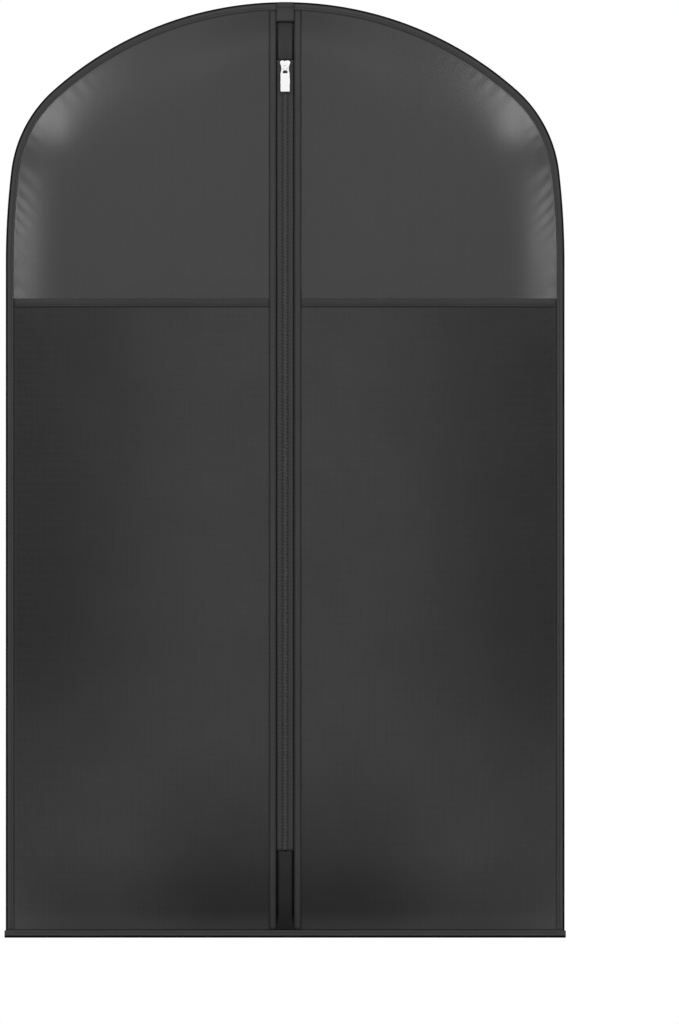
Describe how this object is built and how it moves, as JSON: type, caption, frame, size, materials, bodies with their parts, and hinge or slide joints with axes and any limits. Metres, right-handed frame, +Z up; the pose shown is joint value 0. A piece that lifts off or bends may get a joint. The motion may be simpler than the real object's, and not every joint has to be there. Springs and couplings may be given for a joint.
{
  "type": "garment bag",
  "caption": "Flat hanging garment bag with round shoulders, clear upper windows, woven lower panels, a full-length centre coil zip between folded facings, and a hanger mouth at the top.",
  "frame": {"origin": "middle of the hanger mouth at the bag's top edge, on the seam plane where front and back are sewn together", "axes": "+Z up the bag towards the hanger, the zip facing -Y, +X to the right as the front is faced"},
  "size_m": [0.6096, 0.0469, 1.016],
  "materials": {
    "panel_cloth": "matt black woven-face nonwoven cloth",
    "binding_cloth": "matt black folded binding cloth",
    "window_film": "clear glossy soft film",
    "zip_tape": "black herringbone-woven tape",
    "coil_nylon": "black nylon coil, slightly glossy",
    "nickel_plate": "bright nickel plate",
    "thread": "black spun thread"
  },
  "bodies": {
    "back_shell": {"back_panel": "panel_cloth", "front_seam_margin": "panel_cloth", "edge_binding_left": "binding_cloth", "edge_binding_right": "binding_cloth", "hem_binding": "binding_cloth", "mouth_facing_front": "binding_cloth", "mouth_facing_back": "binding_cloth", "zip_tab_top": "panel_cloth", "zip_tab_bottom": "panel_cloth", "edge_stitching": "thread", "hem_stitching": "thread"},
    "left_front": {"window_left": "window_film", "panel_left": "panel_cloth", "window_band_left": "binding_cloth", "band_stitching_left": "thread", "zip_facing_left": "binding_cloth", "facing_stitching_left": "thread", "zip_tape_left": "zip_tape", "zip_coil_left": "coil_nylon"},
    "right_front": {"window_right": "window_film", "panel_right": "panel_cloth", "window_band_right": "binding_cloth", "band_stitching_right": "thread", "zip_facing_right": "binding_cloth", "facing_stitching_right": "thread", "zip_tape_right": "zip_tape", "zip_coil_right": "coil_nylon"},
    "slider": {"zip_slider": "nickel_plate"},
    "pull": {"zip_pull": "nickel_plate"}
  },
  "joints": [
    {"name": "slider_travel", "type": "slide", "parent": "back_shell", "child": "slider", "axis": [0, 0, -1], "range_m": [0, 0.8458]},
    {"name": "pull_swing", "type": "hinge", "parent": "slider", "child": "pull", "pos_m": [0, -0.0284, -0.0723], "axis": [-1, 0, 0], "range_deg": [0, 160]},
    {"name": "left_front_open", "type": "hinge", "parent": "back_shell", "child": "left_front", "pos_m": [-0.2948, -0.0015, -0.5], "axis": [0, 0, -1], "range_deg": [0, 36]},
    {"name": "right_front_open", "type": "hinge", "parent": "back_shell", "child": "right_front", "pos_m": [0.2948, -0.0015, -0.5], "axis": [0, 0, 1], "range_deg": [0, 36]}
  ],
  "couplings": [
    {"joint": "left_front_open", "follows": "slider_travel", "rad_per_m": 0.74},
    {"joint": "right_front_open", "follows": "slider_travel", "rad_per_m": 0.74}
  ]
}
